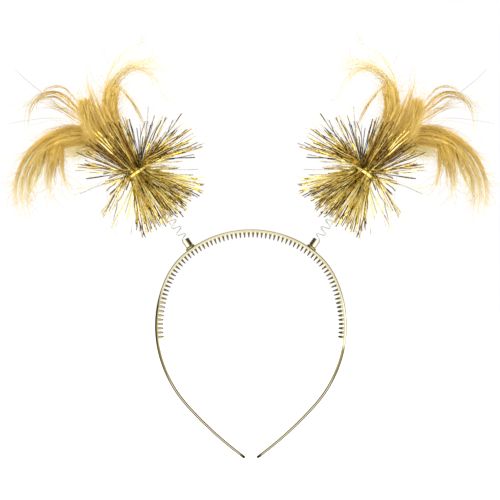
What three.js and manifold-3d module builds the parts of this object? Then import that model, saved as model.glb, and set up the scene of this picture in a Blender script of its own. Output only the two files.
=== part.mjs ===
// Head boppers: a comb headband that carries two sprung bursts of tinsel with feather plumes.
// Millimetres, +Z up, the front towards -Y. The origin is where the middle of the comb rests on the head.
// One bopper is described on the +X side, and the other is its mirror image.
import * as THREE from 'three';
import { mergeVertices } from 'three/addons/utils/BufferGeometryUtils.js';
import Module from 'manifold-3d';

const wasm = await Module();
wasm.setup();

const clearance = 0.3; // left between neighbouring pieces

// Outer edge of half the band, from the top of the crown to the toe: tangent arcs, turns in degrees
const outlineArcs = [
  { stretch: 'crown', radius: 66.6, turn: 37.2 },
  { stretch: 'shoulder', radius: 45.5, turn: 27.8 },
  { stretch: 'side', radius: 73.2, turn: 42.1 },
  { stretch: 'leg', radius: 78.6, turn: 24.6 },
  { stretch: 'toe', radius: 235.5, turn: 11.8 },
];
const band = { thickness: 1.8, crownWidth: 7, toeWidth: 4.6, edge: 0.5, steps: 80 };
const toe = { reach: 1.6, sides: 8, rings: 6 }; // rounded end of each leg

// Comb teeth inside the band, evenly spaced from the middle of the crown
const teeth = {
  perSide: 37, pitch: 2.86, length: 3.6, sunk: 0.4,
  rootRun: 1.6, tipRun: 0.7, rootWidth: 4.2, tipWidth: 1.6,
};

// Stepped cup, at a turn in degrees along the crown
const socket = {
  turn: 35, footRadius: 3.4, foot: 1, shoulder: 1.4,
  radius: 2.7, bore: 2.1, floor: 1.6, height: 6.6, sides: 16,
};

// The burst stands on the socket's axis, and its waist is the middle of its core. Sheaves at an angle past
// the parting grow out of the core's lower end, and the others out of its upper end.
const burst = {
  height: 58.6, coreHalf: 4.5, coreBevel: 1, waistRadius: 7, endRadius: 8, sides: 14, parting: 105,
};
const tie = { half: 1.1, thickness: 0.9 };
const sheaf = { rootWidth: 1.8, tipWidth: 5.2, thickness: 0.8, knee: 8, sunk: 1.5, steps: 2 };

// Wire of the spring, from its tail in the socket up to just under the core of the burst
const wire = { radius: 0.25, sides: 5, stepsPerTurn: 9, pitch: 5.4, coilRadius: 2.7, tailRadius: 1.5 };
const tail = { rise: 5, turns: 1.1 };
const flare = { rise: 2.4, turns: 0.5 };
const springFoot = clearance + socket.floor + clearance + wire.radius;
const springTop = burst.height - burst.coreHalf - clearance - wire.radius;
const coilRise = springTop - springFoot - tail.rise - flare.rise;
const coil = { rise: coilRise, turns: coilRise / wire.pitch };
const springStretches = [
  { stretch: 'tail in the socket', from: wire.tailRadius, to: wire.tailRadius, ...tail },
  { stretch: 'flare over the rim', from: wire.tailRadius, to: wire.coilRadius, ...flare },
  { stretch: 'open coil', from: wire.coilRadius, to: wire.coilRadius, ...coil },
];

// Fans of film: angle from the axis, sheaves in the row, how far round the axis they start and spread
// (0 is the outer side, 90 the back, 180 the inner side, 270 the front), reach and root radius
const fans = [
  { polar: 30, count: 2, from: 240, spread: 60, reach: 38, root: 4.5 },
  { polar: 30, count: 2, from: 60, spread: 60, reach: 38, root: 4.5 },
  { polar: 56, count: 8, from: -22, spread: 360, reach: 40, root: 6 },
  { polar: 80, count: 7, from: 0, spread: 360, reach: 41, root: 6.8 },
  { polar: 103, count: 5, from: 125, spread: 120, reach: 41, root: 6.8 },
  { polar: 112, count: 3, from: -60, spread: 120, reach: 38, root: 6.8 },
  { polar: 136, count: 7, from: 45, spread: 270, reach: 40, root: 6.8 },
  { polar: 153, count: 7, from: 0, spread: 360, reach: 39, root: 6 },
  { polar: 167, count: 5, from: 20, spread: 360, reach: 36.5, root: 4.8 },
];

// Locks of the feathers. A main lock starts beside the axis on top of the core, at the offset given,
// and its heading is its angle from the axis, outwards positive. A branch leaves the main lock at a
// distance along it, turned by its heading from the main lock's own. Each lock runs straight for its
// root fraction and then curls, and it is widest at the fraction called fullAt.
const plumes = {
  outer_plume: {
    offset: 0, lean: 5, flatness: 0.5,
    locks: [
      { lock: 'main', length: 106, heading: 14.5, straight: 0.18, curl: 138.5, ease: 0.92,
        rootWidth: 2.6, width: 14, fullAt: 0.4, tipWidth: 7, sides: 8, steps: 12 },
      { lock: 'second tip', leaves: 54, length: 38, heading: 54.8, straight: 0.56, curl: 30.6, ease: 1.26,
        rootWidth: 7, width: 8, fullAt: 0.3, tipWidth: 2.5, sides: 6, steps: 5 },
      { lock: 'short tip', leaves: 50, length: 31.8, heading: 65.9, straight: 0.06, curl: 33, ease: 1.44,
        rootWidth: 5, width: 6, fullAt: 0.3, tipWidth: 2, sides: 6, steps: 4 },
      { lock: 'sheet', leaves: 64, length: 35.3, heading: 35.3, straight: 0.36, curl: 11.1, ease: 1.67,
        rootWidth: 5, width: 7, fullAt: 0.4, tipWidth: 3, sides: 6, steps: 4 },
      { lock: 'underside', leaves: 22, length: 29.5, heading: 47.4, straight: 0, curl: 2, ease: 1,
        rootWidth: 4, width: 7, fullAt: 0.5, tipWidth: 3, sides: 6, steps: 4 },
    ],
  },
  middle_plume: {
    offset: 3.7, lean: -13, flatness: 0.6,
    locks: [
      { lock: 'main', length: 56.8, heading: 12.7, straight: 0.23, curl: -46.5, ease: 1.04,
        rootWidth: 2.6, width: 11, fullAt: 0.6, tipWidth: 8.5, sides: 8, steps: 7 },
      { lock: 'high arch', leaves: 38, length: 55.7, heading: 24, straight: 0.36, curl: 132, ease: 0.74,
        rootWidth: 4, width: 4.6, fullAt: 0.3, tipWidth: 2, sides: 6, steps: 7 },
      { lock: 'low arch', leaves: 36, length: 47.4, heading: 31.2, straight: 0.53, curl: 89.6, ease: 1.05,
        rootWidth: 4, width: 4.2, fullAt: 0.3, tipWidth: 1.6, sides: 6, steps: 6 },
      { lock: 'spur', leaves: 2, length: 62.1, heading: -22.9, straight: 0.6, curl: -23, ease: 1.73,
        rootWidth: 2.4, width: 7, fullAt: 0.5, tipWidth: 1.6, sides: 6, steps: 6 },
    ],
  },
  inner_plume: {
    offset: -3.7, lean: 3, flatness: 0.62,
    locks: [
      { lock: 'main', length: 87.6, heading: -0.6, straight: 0.14, curl: -146.7, ease: 1.65,
        rootWidth: 2.6, width: 11, fullAt: 0.45, tipWidth: 4, sides: 8, steps: 12 },
      { lock: 'high wisp', leaves: 50, length: 42.5, heading: 33.4, straight: 0.1, curl: -86.5, ease: 0.5,
        rootWidth: 4, width: 3.6, fullAt: 0.3, tipWidth: 1.6, sides: 6, steps: 5 },
      { lock: 'low tip', leaves: 66, length: 35.9, heading: -14.8, straight: 0.11, curl: -107.9, ease: 0.61,
        rootWidth: 4, width: 4, fullAt: 0.3, tipWidth: 1.6, sides: 6, steps: 6 },
      { lock: 'drooping wisp', leaves: 56, length: 42, heading: -100, straight: 0.05, curl: -42, ease: 0.8,
        rootWidth: 3.6, width: 3.4, fullAt: 0.3, tipWidth: 1.6, sides: 6, steps: 6 },
    ],
  },
};

const finishes = {
  plating: { color: 0xcfc08c, roughness: 0.18, metalness: 0.9 },
  steel: { color: 0xb4b4ae, roughness: 0.25, metalness: 1 },
  film: { color: 0xc7a648, roughness: 0.3, metalness: 0.9 },
  feather: { color: 0xd3ad5c, roughness: 0.8, metalness: 0 },
};

const { degToRad: radians, radToDeg: degrees, lerp, clamp, smoothstep } = THREE.MathUtils;

// Three.js mesh to solid and back, with only positions kept so that shared corners merge
function solidOf(geometry) {
  const bare = geometry.clone();
  bare.deleteAttribute('normal');
  bare.deleteAttribute('uv');
  const merged = mergeVertices(bare, 1e-4);
  const vertProperties = new Float32Array(merged.attributes.position.array);
  const triVerts = new Uint32Array(merged.index.array);
  return new wasm.Manifold(new wasm.Mesh({ numProp: 3, vertProperties, triVerts }));
}

function geometryOf(solid) {
  const mesh = solid.getMesh();
  const geometry = new THREE.BufferGeometry();
  geometry.setAttribute('position', new THREE.BufferAttribute(mesh.vertProperties, 3));
  geometry.setIndex(new THREE.BufferAttribute(mesh.triVerts, 1));
  return geometry;
}

function joined(solids) {
  return solids.reduce((whole, solid) => whole.add(solid));
}

// Cutting can leave loose scraps, and the piece is the largest of what remains
function largestBody(solid) {
  const bodies = solid.decompose();
  return bodies.reduce((best, body) => (body.volume() > best.volume() ? body : best));
}

// Moves every corner of a geometry to where place(x, y, z) puts it
function warped(geometry, place) {
  const position = geometry.attributes.position;
  for (let i = 0; i < position.count; i += 1) {
    const moved = place(position.getX(i), position.getY(i), position.getZ(i));
    position.setXYZ(i, moved.x, moved.y, moved.z);
  }
  return geometry;
}

// A lathed shape round +Z from its profile of radius and height pairs
function turned(profile, sides) {
  const points = profile.map(([radius, height]) => new THREE.Vector2(radius, height));
  return new THREE.LatheGeometry(points, sides).rotateX(Math.PI / 2);
}

function pieceMesh(name, geometry, finish) {
  const mesh = new THREE.Mesh(geometry, new THREE.MeshStandardMaterial(finishes[finish]));
  mesh.name = name;
  return mesh;
}

// The outline as a path of circle arcs: each starts where the last one ends, along the same tangent
function outlinePath() {
  const path = new THREE.CurvePath();
  const crownTop = teeth.length + band.thickness;
  const point = new THREE.Vector2(0, crownTop);
  let heading = 0;
  for (const { radius, turn } of outlineArcs) {
    const outward = new THREE.Vector2(Math.sin(heading), Math.cos(heading));
    const centre = point.clone().addScaledVector(outward, -radius);
    const startAngle = Math.PI / 2 - heading;
    heading += radians(turn);
    const arc = new THREE.EllipseCurve(
      centre.x, centre.y, radius, radius, startAngle, Math.PI / 2 - heading, true);
    path.add(arc);
    point.copy(arc.getPoint(1));
  }
  return path;
}

const outline = outlinePath();
const halfLength = outline.getLength();

// Place on the outline at a signed distance from the crown's top: the point, the way on and the way out
function outlineAt(distance) {
  const side = distance < 0 ? -1 : 1;
  const u = Math.min(Math.abs(distance) / halfLength, 1);
  const point = outline.getPointAt(u);
  const tangent = outline.getTangentAt(u);
  return {
    point: new THREE.Vector3(side * point.x, 0, point.y),
    along: new THREE.Vector3(tangent.x, 0, side * tangent.y),
    out: new THREE.Vector3(-side * tangent.y, 0, tangent.x),
  };
}

function bandWidthAt(distance) {
  const share = Math.abs(distance) / halfLength;
  return lerp(band.crownWidth, band.toeWidth, share * share);
}

// The hoop: a bevelled strip carried along the whole outline, its width easing down towards the toes
function hoopSolid() {
  const { thickness, edge } = band;
  const flat = 0.5 - edge / band.crownWidth;
  const section = new THREE.Shape([
    [edge - thickness, -0.5], [-edge, -0.5], [0, -flat], [0, flat],
    [-edge, 0.5], [edge - thickness, 0.5], [-thickness, flat], [-thickness, -flat],
  ].map(([depth, share]) => new THREE.Vector2(depth, share)));
  const straight = new THREE.ExtrudeGeometry(section, { depth: 1, steps: band.steps, bevelEnabled: false });
  return solidOf(warped(straight, (depth, share, run) => {
    const distance = lerp(halfLength, -halfLength, run);
    const place = outlineAt(distance);
    const moved = place.point.addScaledVector(place.out, depth);
    moved.y += share * bandWidthAt(distance);
    return moved;
  }));
}

// Rounded toe at one end of the hoop
function toeSolid(side) {
  const place = outlineAt(side * halfLength);
  const round = new THREE.SphereGeometry(1, toe.sides, toe.rings);
  round.scale(band.thickness / 2, band.toeWidth / 2, toe.reach);
  const basis = new THREE.Matrix4().makeBasis(
    place.out, new THREE.Vector3(0, 1, 0), place.out.clone().cross(new THREE.Vector3(0, 1, 0)));
  basis.setPosition(place.point.addScaledVector(place.out, -band.thickness / 2));
  return solidOf(round.applyMatrix4(basis));
}

// One tooth of the comb: a wedge that points inwards, narrower at its tip both ways
function toothSolid(distance) {
  const place = outlineAt(distance);
  const wedge = new THREE.BoxGeometry(1, 1, 1);
  return solidOf(warped(wedge, (run, share, rise) => {
    const t = 0.5 - rise;
    const depth = band.thickness - teeth.sunk + t * (teeth.length + teeth.sunk);
    const moved = place.point.clone().addScaledVector(place.out, -depth);
    moved.addScaledVector(place.along, run * lerp(teeth.rootRun, teeth.tipRun, t));
    moved.y += share * lerp(teeth.rootWidth, teeth.tipWidth, t);
    return moved;
  }));
}

function bandGeometry() {
  const solids = [hoopSolid(), toeSolid(1), toeSolid(-1)];
  for (let i = 0; i < teeth.perSide; i += 1) {
    const distance = (i + 0.5) * teeth.pitch;
    solids.push(toothSolid(distance), toothSolid(-distance));
  }
  return geometryOf(joined(solids));
}

// Stepped cup that holds the spring's tail
function socketGeometry() {
  const { footRadius, foot, shoulder, radius, height, bore, floor } = socket;
  return turned([
    [0, 0], [footRadius, 0], [footRadius, foot], [radius, shoulder],
    [radius, height], [bore, height], [bore, floor], [0, floor],
  ], socket.sides);
}

// The spring's centre line: a helix whose radius follows the table of stretches
class SpringPath extends THREE.Curve {
  getPoint(t, target = new THREE.Vector3()) {
    const allTurns = springStretches.reduce((sum, row) => sum + row.turns, 0);
    let left = t * allTurns;
    let height = 0;
    let radius = wire.tailRadius;
    for (const row of springStretches) {
      const share = Math.min(left / row.turns, 1);
      height += row.rise * share;
      radius = lerp(row.from, row.to, share);
      left -= row.turns * share;
      if (share < 1) break;
    }
    const angle = -2 * Math.PI * t * allTurns;
    return target.set(radius * Math.cos(angle), radius * Math.sin(angle), height);
  }
}

function springGeometry() {
  const turns = springStretches.reduce((sum, row) => sum + row.turns, 0);
  const corners = Array.from({ length: wire.sides }, (_, i) => {
    const angle = (2 * Math.PI * i) / wire.sides;
    return new THREE.Vector2(wire.radius * Math.cos(angle), wire.radius * Math.sin(angle));
  });
  return new THREE.ExtrudeGeometry(new THREE.Shape(corners), {
    steps: Math.round(turns * wire.stepsPerTurn), extrudePath: new SpringPath(), bevelEnabled: false,
  });
}

// Distance, place and heading along a lock, from a main lock's foot or from where a branch leaves it
function lockSpine(lock, foot, footHeading, slices = 60) {
  const spine = [{ distance: 0, x: foot.x, z: foot.z, heading: radians(footHeading) }];
  const slice = lock.length / slices;
  for (let i = 1; i <= slices; i += 1) {
    const t = (i - 0.5) / slices;
    const bent = Math.max((t - lock.straight) / (1 - lock.straight), 0) ** lock.ease;
    const heading = radians(footHeading + lock.curl * bent);
    const last = spine[i - 1];
    spine.push({
      distance: i * slice,
      x: last.x + slice * Math.sin(heading),
      z: last.z + slice * Math.cos(heading),
      heading,
    });
  }
  return spine;
}

// The spine at a distance, run on straight past either end
function spineAt(spine, distance) {
  const slice = spine[1].distance;
  const i = clamp(Math.floor(distance / slice), 0, spine.length - 2);
  const t = distance / slice - i;
  return {
    x: lerp(spine[i].x, spine[i + 1].x, t),
    z: lerp(spine[i].z, spine[i + 1].z, t),
    heading: lerp(spine[i].heading, spine[i + 1].heading, clamp(t, 0, 1)),
  };
}

function lockWidthAt(lock, t) {
  const { rootWidth, width, fullAt, tipWidth } = lock;
  if (t < fullAt) return lerp(rootWidth, width, smoothstep(t, 0, fullAt));
  return lerp(width, tipWidth, smoothstep(t, fullAt, 1));
}

// One lock: a flattened round bar along its spine, leaning to the front or back, and grown all round
// where it is only the room that a neighbour has to leave free
function lockSolid(lock, spine, plume, startDepth, grown) {
  const bar = new THREE.CylinderGeometry(0.5, 0.5, 1, lock.sides, lock.steps);
  const slope = Math.tan(radians(plume.lean));
  return solidOf(warped(bar, (across, run, deep) => {
    const distance = lerp(-grown, lock.length + grown, run + 0.5);
    const place = spineAt(spine, distance);
    const width = lockWidthAt(lock, clamp(distance / lock.length, 0, 1));
    const side = across * (width + 2 * grown);
    const depth = startDepth + distance * slope - deep * (width * plume.flatness + 2 * grown);
    return new THREE.Vector3(
      place.x + side * Math.cos(place.heading), depth, place.z - side * Math.sin(place.heading));
  }));
}

function plumeSolid(plume, grown = 0) {
  const [main, ...branches] = plume.locks;
  const foot = { x: plume.offset, z: burst.coreHalf + clearance };
  const mainSpine = lockSpine(main, foot, main.heading);
  const solids = [lockSolid(main, mainSpine, plume, 0, grown)];
  for (const lock of branches) {
    const start = spineAt(mainSpine, lock.leaves);
    const heading = degrees(start.heading) + lock.heading;
    const depth = lock.leaves * Math.tan(radians(plume.lean));
    solids.push(lockSolid(lock, lockSpine(lock, start, heading), plume, depth, grown));
  }
  return joined(solids);
}

// One sheaf of film strips: it leaves the core along the axis, bends over to its own direction and widens
function sheafSolid(fan, turn) {
  const upward = fan.polar < burst.parting ? 1 : -1;
  const around = new THREE.Vector3(Math.cos(turn), Math.sin(turn), 0);
  const axial = new THREE.Vector3(0, 0, upward);
  const polar = radians(fan.polar);
  const start = around.clone().multiplyScalar(fan.root);
  start.addScaledVector(axial, burst.coreHalf - sheaf.sunk);
  const end = around.clone().multiplyScalar(fan.reach * Math.sin(polar));
  end.z = fan.reach * Math.cos(polar);
  const knee = start.clone().addScaledVector(axial, sheaf.knee);
  const route = new THREE.QuadraticBezierCurve3(start, knee, end);
  const sideways = new THREE.Vector3(0, 0, 1).cross(around);
  const film = new THREE.BoxGeometry(1, 1, 1, 1, 1, sheaf.steps);
  return solidOf(warped(film, (across, thick, run) => {
    const t = run + 0.5;
    const tangent = route.getTangent(t);
    const moved = route.getPoint(t);
    moved.addScaledVector(sideways, across * lerp(sheaf.rootWidth, sheaf.tipWidth, t));
    return moved.addScaledVector(tangent.cross(sideways), thick * sheaf.thickness);
  }));
}

function coreSolid() {
  const { coreHalf, coreBevel, waistRadius, endRadius, sides } = burst;
  const grooveHalf = tie.half + clearance;
  return solidOf(turned([
    [0, -coreHalf], [endRadius - coreBevel, -coreHalf], [endRadius, coreBevel - coreHalf],
    [waistRadius, -grooveHalf], [waistRadius, grooveHalf],
    [endRadius, coreHalf - coreBevel], [endRadius - coreBevel, coreHalf], [0, coreHalf],
  ], sides));
}

// The room round the tie and the spring that the sheaves leave free
function tieProfile(grown) {
  const inner = burst.waistRadius + clearance - grown;
  const outer = burst.waistRadius + clearance + tie.thickness + grown;
  const half = tie.half + grown;
  return [[inner, -half], [outer, -half], [outer, half], [inner, half], [inner, -half]];
}

function springRoomSolid() {
  const radius = wire.coilRadius + wire.radius + clearance;
  return solidOf(turned([
    [0, -burst.height], [radius, -burst.height], [radius, -burst.coreHalf], [0, -burst.coreHalf],
  ], burst.sides));
}

function tinselGeometry() {
  const solids = [coreSolid()];
  for (const fan of fans) {
    for (let i = 0; i < fan.count; i += 1) {
      const turn = radians(fan.from + (fan.spread * (i + 0.5)) / fan.count);
      solids.push(sheafSolid(fan, turn));
    }
  }
  let whole = joined(solids).subtract(springRoomSolid());
  whole = whole.subtract(solidOf(turned(tieProfile(clearance), burst.sides)));
  for (const plume of Object.values(plumes)) {
    whole = whole.subtract(plumeSolid(plume, clearance));
  }
  return geometryOf(largestBody(whole));
}

// The middle feather gives way to the two beside it
function plumeGeometry(name) {
  let solid = plumeSolid(plumes[name]);
  if (name === 'middle_plume') {
    solid = solid.subtract(plumeSolid(plumes.outer_plume, clearance));
    solid = solid.subtract(plumeSolid(plumes.inner_plume, clearance));
  }
  return geometryOf(largestBody(solid));
}

// One bopper, standing on the band's outer face along the way out at the socket's turn
function bopperGroup(sideName) {
  const place = outlineAt(radians(socket.turn) * outlineArcs[0].radius);
  const bopper = new THREE.Group();
  bopper.position.copy(place.point);
  bopper.rotation.y = radians(socket.turn);

  const cup = pieceMesh(`socket_${sideName}`, socketGeometry(), 'plating');
  cup.position.z = clearance;
  const spring = pieceMesh(`spring_${sideName}`, springGeometry(), 'steel');
  spring.position.z = springFoot;
  bopper.add(cup, spring);

  const head = new THREE.Group();
  head.position.z = burst.height;
  head.add(pieceMesh(`tinsel_${sideName}`, tinselGeometry(), 'film'));
  head.add(pieceMesh(`tie_${sideName}`, turned(tieProfile(0), burst.sides), 'film'));
  for (const name of Object.keys(plumes)) {
    head.add(pieceMesh(`${name}_${sideName}`, plumeGeometry(name), 'feather'));
  }
  bopper.add(head);
  return bopper;
}

const headband = new THREE.Group();
headband.add(pieceMesh('band', bandGeometry(), 'plating'));
for (const [sideName, sign] of [['right', 1], ['left', -1]]) {
  const side = new THREE.Group();
  side.scale.x = sign;
  side.add(bopperGroup(sideName));
  headband.add(side);
}

export default headband;
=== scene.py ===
import math
import bpy
import numpy as np
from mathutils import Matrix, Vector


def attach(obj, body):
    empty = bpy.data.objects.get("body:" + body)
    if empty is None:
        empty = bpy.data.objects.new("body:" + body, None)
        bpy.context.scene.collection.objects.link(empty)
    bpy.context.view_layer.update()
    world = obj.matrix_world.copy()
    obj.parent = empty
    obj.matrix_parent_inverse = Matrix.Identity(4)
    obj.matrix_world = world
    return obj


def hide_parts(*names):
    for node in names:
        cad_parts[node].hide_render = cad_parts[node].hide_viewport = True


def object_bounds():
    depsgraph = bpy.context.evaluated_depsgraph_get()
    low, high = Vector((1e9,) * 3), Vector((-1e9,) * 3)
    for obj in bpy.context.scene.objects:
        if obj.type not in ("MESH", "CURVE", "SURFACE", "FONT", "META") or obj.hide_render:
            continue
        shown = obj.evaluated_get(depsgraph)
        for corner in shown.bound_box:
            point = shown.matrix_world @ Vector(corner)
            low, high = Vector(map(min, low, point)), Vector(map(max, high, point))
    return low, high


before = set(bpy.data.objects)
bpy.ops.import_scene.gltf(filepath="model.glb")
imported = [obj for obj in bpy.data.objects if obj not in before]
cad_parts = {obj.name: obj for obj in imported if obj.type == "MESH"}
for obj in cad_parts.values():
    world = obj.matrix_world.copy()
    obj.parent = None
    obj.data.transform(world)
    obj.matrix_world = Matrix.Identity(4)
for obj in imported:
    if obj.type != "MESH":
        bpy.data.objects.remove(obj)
cadLow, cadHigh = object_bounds()
mm = 0.001  # the dictionaries are in millimetres and degrees, but clip and the studio in metres
print("frame loaded:", len(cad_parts), "nodes")


def addObject(name, data):
    made = bpy.data.objects.new(name, data)
    bpy.context.scene.collection.objects.link(made)
    return made


# camera: level and straight on, a long lens, the photograph's middle at its own place on the object
cameraSpec = {"lens": 150, "sensor": 36, "frameWidth": 317.5, "middle": (-0.6, -7.75), "clip": (0.05, 60)}


def addCamera():
    lens = bpy.data.cameras.new("camera")
    lens.lens = cameraSpec["lens"]
    lens.sensor_width = cameraSpec["sensor"]
    lens.clip_start, lens.clip_end = cameraSpec["clip"]
    camera = addObject("camera", lens)
    distance = cameraSpec["frameWidth"] * mm * cameraSpec["lens"] / cameraSpec["sensor"]
    across, height = cameraSpec["middle"]
    camera.location = (across * mm, -distance, height * mm)
    camera.rotation_euler = (math.radians(90), 0, 0)
    bpy.context.scene.camera = camera


addCamera()


# a vector / its length
def unit(vectors):
    return vectors / np.maximum(np.linalg.norm(vectors, axis=-1, keepdims=True), 1e-12)


# eased share of the way s from low to high = 3 s^2 - 2 s^3, flat at both ends
def smoothStep(low, high, values):
    share = np.clip((values - low) / (high - low), 0, 1)
    return share * share * (3 - 2 * share)


# running sum of values, from 0
def runningSum(values):
    return np.concatenate([[0], np.cumsum(values)])


# quads between ring r and ring r + 1, each ring closed on itself, the same for every strand
def ringQuads(rings, sides, strands):
    ring = np.arange(rings - 1)[:, None] * sides
    here = np.arange(sides)[None, :]
    after = (here + 1) % sides
    lower = [ring + here, ring + after]
    upper = [ring + sides + after, ring + sides + here]
    one = np.stack(lower + upper, axis=-1).reshape(-1, 4)
    shift = np.arange(strands)[:, None, None] * rings * sides
    return (one[None] + shift).reshape(-1, 4)


# a flat face over the first and the last ring of every strand
def endCaps(rings, sides, strands):
    turn = np.arange(sides)
    one = np.stack([turn[::-1], (rings - 1) * sides + turn])
    shift = np.arange(strands)[:, None, None] * rings * sides
    return (one[None] + shift).reshape(-1, sides)


# one surface = points of shape (strands, rings, sides, 3) with values to carry on the points
class Surface:
    def __init__(self, points, **values):
        shape = points.shape[:3]
        strands, rings, sides = shape
        self.points = points.reshape(-1, 3)
        self.quads = ringQuads(rings, sides, strands)
        self.caps = endCaps(rings, sides, strands)
        self.values = {name: np.broadcast_to(value, shape).reshape(-1) for name, value in values.items()}


# joins surfaces into one mesh in the material of its slot; a mirrored copy has x negated and its faces
# turned round
def makePiece(name, surfaces, replaced, slot, mirrored=False, smooth=True):
    points, corners, starts, values = [], [], [], {}
    base, cornerCount = 0, 0
    for surface in surfaces:
        points.append(surface.points)
        for faces in (surface.quads, surface.caps):
            faces = faces[:, ::-1] if mirrored else faces
            corners.append((faces + base).reshape(-1))
            starts.append(cornerCount + np.arange(len(faces)) * faces.shape[1])
            cornerCount += faces.size
        for key, value in surface.values.items():
            values.setdefault(key, []).append(value)
        base += len(surface.points)
    points = np.concatenate(points) * mm
    if mirrored:
        points = points * np.array([-1, 1, 1])
    corners = np.concatenate(corners).astype(np.int32)
    starts = np.concatenate(starts).astype(np.int32)
    mesh = bpy.data.meshes.new(name)
    mesh.vertices.add(len(points))
    mesh.vertices.foreach_set("co", points.astype(np.float32).reshape(-1))
    mesh.loops.add(len(corners))
    mesh.loops.foreach_set("vertex_index", corners)
    mesh.polygons.add(len(starts))
    mesh.polygons.foreach_set("loop_start", starts)
    mesh.update(calc_edges=True)
    for key, parts in values.items():
        attribute = mesh.attributes.new(key, "FLOAT", "POINT")
        attribute.data.foreach_set("value", np.concatenate(parts).astype(np.float32))
    mesh.polygons.foreach_set("use_smooth", np.full(len(starts), smooth))
    mesh.materials.append(materials[slot])
    piece = addObject(name, mesh)
    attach(piece, "root")
    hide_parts(replaced)
    print("piece", name, "triangles", cornerCount - 2 * len(starts))


# frame along a path: side = reference x tangent and up = tangent x side
def pathFrames(paths, reference):
    tangent = unit(np.gradient(paths, axis=1))
    side = unit(np.cross(np.broadcast_to(reference, paths.shape), tangent))
    return side, np.cross(tangent, side)


# point round an axis = (radius cos a, radius sin a, height)
def aroundAxis(radius, angle, height):
    return np.stack([radius * np.cos(angle), radius * np.sin(angle), height + 0 * angle], axis=-1)


# round strands: ring point = path + radius * (cos a * side + sin a * up)
def roundStrands(paths, radii, sides, reference):
    side, up = pathFrames(paths, reference)
    angle = 2 * np.pi * np.arange(sides) / sides
    ring = np.cos(angle)[:, None] * side[:, :, None, :] + np.sin(angle)[:, None] * up[:, :, None, :]
    return paths[:, :, None, :] + radii[:, :, None, None] * ring


# flat strips: four corners at half the width and half the thickness, rolled by an angle about the path
def flatStrips(paths, widths, thickness, roll, reference):
    side, up = pathFrames(paths, reference)
    cosRoll, sinRoll = np.cos(roll)[:, :, None], np.sin(roll)[:, :, None]
    flat = cosRoll * side + sinRoll * up
    proud = cosRoll * up - sinRoll * side
    cornerSide = np.array([0.5, 0.5, -0.5, -0.5])[:, None]
    cornerUp = np.array([-0.5, 0.5, 0.5, -0.5])[:, None] * thickness
    ring = cornerSide * (flat * widths[:, :, None])[:, :, None, :] + cornerUp * proud[:, :, None, :]
    return paths[:, :, None, :] + ring


edgeLimit = 0.9  # the largest radius of a round edge, as a share of half the section


# box section with round edges: corner middle at half size less the edge's radius, + radius * (cos, sin);
# half sizes have a value for every ring, and the edges one for every ring and corner
def boxRing(halfA, halfB, edges, steps):
    angle = (np.arange(4)[:, None] * 90 + np.linspace(0, 90, steps)[None, :]) * np.pi / 180
    signA = np.array([1, -1, -1, 1])[:, None]
    signB = np.array([1, 1, -1, -1])[:, None]
    halfA, halfB = halfA[..., None, None], halfB[..., None, None]
    edges = np.minimum(edges[..., None], np.minimum(halfA, halfB) * edgeLimit)
    ringA = signA * (halfA - edges) + edges * np.cos(angle)
    ringB = signB * (halfB - edges) + edges * np.sin(angle)
    return ringA.reshape(*ringA.shape[:-2], -1), ringB.reshape(*ringB.shape[:-2], -1)


# shader nodes: a value wraps a socket, and sums and products of values add Math nodes
class Value:
    def __init__(self, book, socket):
        self.book, self.socket = book, socket

    def math(self, operation, first, second):
        return self.book.node("ShaderNodeMath", {"operation": operation}, {0: first, 1: second})

    def __add__(self, other):
        return self.math("ADD", self, other)

    def __radd__(self, other):
        return self.math("ADD", other, self)

    def __sub__(self, other):
        return self.math("SUBTRACT", self, other)

    def __rsub__(self, other):
        return self.math("SUBTRACT", other, self)

    def __mul__(self, other):
        return self.math("MULTIPLY", self, other)

    def __rmul__(self, other):
        return self.math("MULTIPLY", other, self)


class NodeBook:
    def __init__(self, tree):
        self.tree = tree
        tree.nodes.clear()

    # settings are set first, then each socket gets a number, a colour or a link
    def node(self, kind, settings=None, sockets=None, output=0):
        made = self.tree.nodes.new(kind)
        for key, value in (settings or {}).items():
            if key == "stops":
                self.setStops(made.color_ramp, value)
            else:
                setattr(made, key, value)
        for key, value in (sockets or {}).items():
            if isinstance(value, Value):
                self.tree.links.new(value.socket, made.inputs[key])
            else:
                made.inputs[key].default_value = value
        return Value(self, made.outputs[output]) if len(made.outputs) else made

    def setStops(self, ramp, stops):
        while len(ramp.elements) < len(stops):
            ramp.elements.new(1)
        for element, (place, colour) in zip(ramp.elements, stops):
            element.position = place
            element.color = colour

    def objectPlace(self):
        return self.node("ShaderNodeTexCoord", output="Object")

    def carried(self, name):
        return self.node("ShaderNodeAttribute", {"attribute_name": name}, output="Fac")

    def noise(self, scale, detail, place=None):
        sockets = {"Vector": place or self.objectPlace(), "Scale": scale, "Detail": detail}
        return self.node("ShaderNodeTexNoise", None, sockets, "Fac")

    def spread(self, value, low, high):
        settings = {"interpolation_type": "SMOOTHSTEP"}
        sockets = {"Value": value, "From Min": low, "From Max": high}
        return self.node("ShaderNodeMapRange", settings, sockets)

    def mixed(self, share, first, second):
        return self.node("ShaderNodeMix", {"data_type": "RGBA"}, {0: share, 6: first, 7: second}, 2)

    def bump(self, height, strength, distance):
        sockets = {"Height": height, "Strength": strength, "Distance": distance}
        return self.node("ShaderNodeBump", None, sockets)


# a material is named after its look, a function that gives the shader's sockets
def newMaterial(look):
    material = bpy.data.materials.new(look.__name__)
    material.use_nodes = True
    book = NodeBook(material.node_tree)
    shader = book.node("ShaderNodeBsdfPrincipled", None, look(book))
    book.node("ShaderNodeOutputMaterial", None, {"Surface": shader})
    return material


def rgb(red, green, blue):
    return (red, green, blue, 1)


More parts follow.
